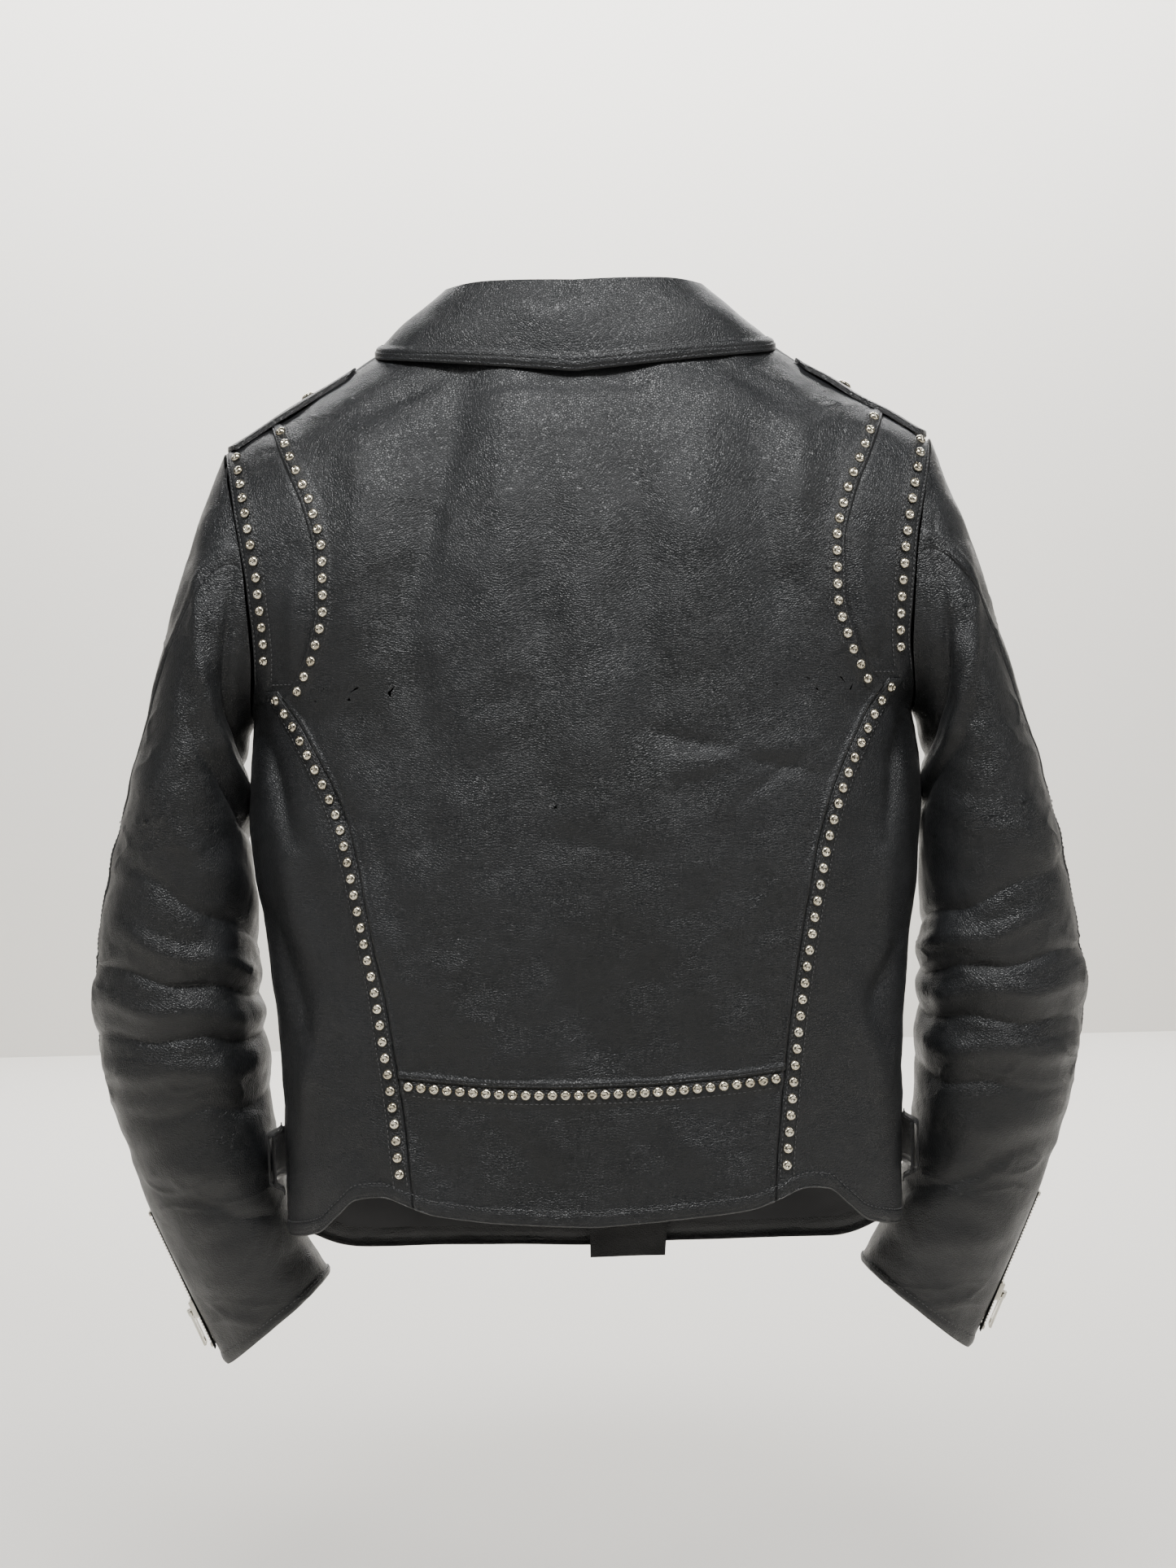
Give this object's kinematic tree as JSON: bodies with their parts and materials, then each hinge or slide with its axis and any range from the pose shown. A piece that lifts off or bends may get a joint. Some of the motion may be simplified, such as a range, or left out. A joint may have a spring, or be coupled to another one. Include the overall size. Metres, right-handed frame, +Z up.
{
  "type": "leather riding jacket",
  "caption": "Short black leather riding jacket with studded back seams, fold-over collar, epaulettes, action gussets, bent sleeves and metal zips, hung by its neck loop.",
  "frame": {"origin": "where a peg touches the underside of the hang loop at the inside back neck", "axes": "+Z up as it hangs, -Y towards the jacket's back, +X towards the wearer's right"},
  "size_m": [0.6938, 0.195, 0.7451],
  "materials": {
    "leather": "satin",
    "leather_inner": "satin",
    "lining": "satin",
    "stud_nickel": "polished",
    "buckle_nickel": "polished",
    "zip_teeth": "satin",
    "zip_slider": "polished"
  },
  "bodies": {
    "root": {"back_panel": "leather", "kidney_panel": "leather", "gusset_left": "leather", "gusset_right": "leather", "side_back_left": "leather", "side_back_right": "leather", "front_left": "leather", "front_right": "leather", "wind_flap": "leather_inner", "lapel_left": "leather", "lapel_right": "leather", "collar_stand": "leather", "collar_fall": "leather", "lining_back": "lining", "lining_front_left": "lining", "lining_front_right": "lining", "hang_loop": "leather", "lapel_snaps": "buckle_nickel", "studs_outer": "stud_nickel", "studs_inner_left": "stud_nickel", "studs_inner_right": "stud_nickel", "studs_lower_left": "stud_nickel", "studs_lower_right": "stud_nickel", "studs_waist": "stud_nickel", "belt_left": "leather", "belt_right": "leather", "belt_loop_left": "leather", "belt_loop_right": "leather", "buckle_frame": "buckle_nickel", "main_zip_chain": "zip_teeth", "chest_zip_chain": "zip_teeth", "hand_zip_chain_left": "zip_teeth", "hand_zip_chain_right": "zip_teeth"},
    "sleeve_left": {"sleeve_upper_left": "leather", "sleeve_under_left": "leather", "sleeve_lining_left": "lining", "cuff_zip_chain_left": "zip_teeth"},
    "cuff_slider_left": {"cuff_zip_slider_left": "zip_slider"},
    "cuff_pull_left": {"cuff_zip_pull_left": "zip_slider"},
    "sleeve_right": {"sleeve_upper_right": "leather", "sleeve_under_right": "leather", "sleeve_lining_right": "lining", "cuff_zip_chain_right": "zip_teeth"},
    "cuff_slider_right": {"cuff_zip_slider_right": "zip_slider"},
    "cuff_pull_right": {"cuff_zip_pull_right": "zip_slider"},
    "main_slider": {"main_zip_slider": "zip_slider"},
    "main_pull": {"main_zip_pull": "zip_slider"},
    "chest_slider": {"chest_zip_slider": "zip_slider"},
    "chest_pull": {"chest_zip_pull": "zip_slider"},
    "hand_left_slider": {"hand_zip_slider_left": "zip_slider"},
    "hand_left_pull": {"hand_zip_pull_left": "zip_slider"},
    "hand_right_slider": {"hand_zip_slider_right": "zip_slider"},
    "hand_right_pull": {"hand_zip_pull_right": "zip_slider"},
    "epaulette_left": {"epaulette_left": "leather", "epaulette_snaps_left": "buckle_nickel"},
    "epaulette_right": {"epaulette_right": "leather", "epaulette_snaps_right": "buckle_nickel"},
    "coin_flap": {"coin_flap": "leather", "coin_snap": "buckle_nickel"},
    "buckle_prong": {"buckle_prong": "buckle_nickel"}
  },
  "joints": [
    {"name": "sleeve_left_swing", "type": "hinge", "parent": "root", "child": "sleeve_left", "pos_m": [-0.2415, 0.045, -0.066], "axis": [0, 1, 0], "range_deg": [0, 25]},
    {"name": "cuff_zip_left_slide", "type": "slide", "parent": "sleeve_left", "child": "cuff_slider_left", "axis": [-0.3603, -0.1698, 0.9172], "range_m": [-0.0205, 0.0683]},
    {"name": "cuff_pull_left_swing", "type": "hinge", "parent": "cuff_slider_left", "child": "cuff_pull_left", "pos_m": [-0.28926, 0.09668, -0.66777], "axis": [-0.0415, 0.9852, 0.1661], "range_deg": [0, 110]},
    {"name": "sleeve_right_swing", "type": "hinge", "parent": "root", "child": "sleeve_right", "pos_m": [0.2415, 0.045, -0.066], "axis": [0, -1, 0], "range_deg": [0, 25]},
    {"name": "cuff_zip_right_slide", "type": "slide", "parent": "sleeve_right", "child": "cuff_slider_right", "axis": [0.3603, -0.1698, 0.9172], "range_m": [-0.0205, 0.0683]},
    {"name": "cuff_pull_right_swing", "type": "hinge", "parent": "cuff_slider_right", "child": "cuff_pull_right", "pos_m": [0.28926, 0.09668, -0.66777], "axis": [-0.0415, -0.9852, -0.1661], "range_deg": [0, 110]},
    {"name": "main_zip_slide", "type": "slide", "parent": "root", "child": "main_slider", "axis": [0.086, 0, 0.9963], "range_m": [-0.33, 0]},
    {"name": "main_pull_swing", "type": "hinge", "parent": "main_slider", "child": "main_pull", "pos_m": [0.06127, 0.1401, -0.16847], "axis": [0.9963, 0, -0.086], "range_deg": [0, 110]},
    {"name": "chest_zip_slide", "type": "slide", "parent": "root", "child": "chest_slider", "axis": [0.8833, 0.1193, 0.4534], "range_m": [-0.0708, 0]},
    {"name": "chest_pull_swing", "type": "hinge", "parent": "chest_slider", "child": "chest_pull", "pos_m": [-0.07439, 0.13973, -0.19611], "axis": [0.4543, 0.0215, -0.8906], "range_deg": [0, 110]},
    {"name": "hand_left_zip_slide", "type": "slide", "parent": "root", "child": "hand_left_slider", "axis": [0.3467, 0.1109, 0.9314], "range_m": [-0.1153, 0]},
    {"name": "hand_left_pull_swing", "type": "hinge", "parent": "hand_left_slider", "child": "hand_left_pull", "pos_m": [-0.12127, 0.13326, -0.38805], "axis": [0.8984, 0.2463, -0.3637], "range_deg": [0, 110]},
    {"name": "hand_right_zip_slide", "type": "slide", "parent": "root", "child": "hand_right_slider", "axis": [-0.3467, 0.1109, 0.9314], "range_m": [-0.1153, 0]},
    {"name": "hand_right_pull_swing", "type": "hinge", "parent": "hand_right_slider", "child": "hand_right_pull", "pos_m": [0.12127, 0.13326, -0.38805], "axis": [0.8984, -0.2463, 0.3637], "range_deg": [0, 110]},
    {"name": "epaulette_left_lift", "type": "hinge", "parent": "root", "child": "epaulette_left", "pos_m": [-0.23826, 0.045, -0.06297], "axis": [0, -1, 0], "range_deg": [0, 70]},
    {"name": "epaulette_right_lift", "type": "hinge", "parent": "root", "child": "epaulette_right", "pos_m": [0.23826, 0.045, -0.06297], "axis": [0, 1, 0], "range_deg": [0, 70]},
    {"name": "coin_flap_lift", "type": "hinge", "parent": "root", "child": "coin_flap", "pos_m": [-0.07215, 0.13206, -0.42301], "axis": [0.9959, 0.0906, 0], "range_deg": [0, 120]},
    {"name": "buckle_prong_swing", "type": "hinge", "parent": "root", "child": "buckle_prong", "pos_m": [-0.066, 0.145, -0.548], "axis": [0, 0, 1], "range_deg": [0, 100]}
  ]
}
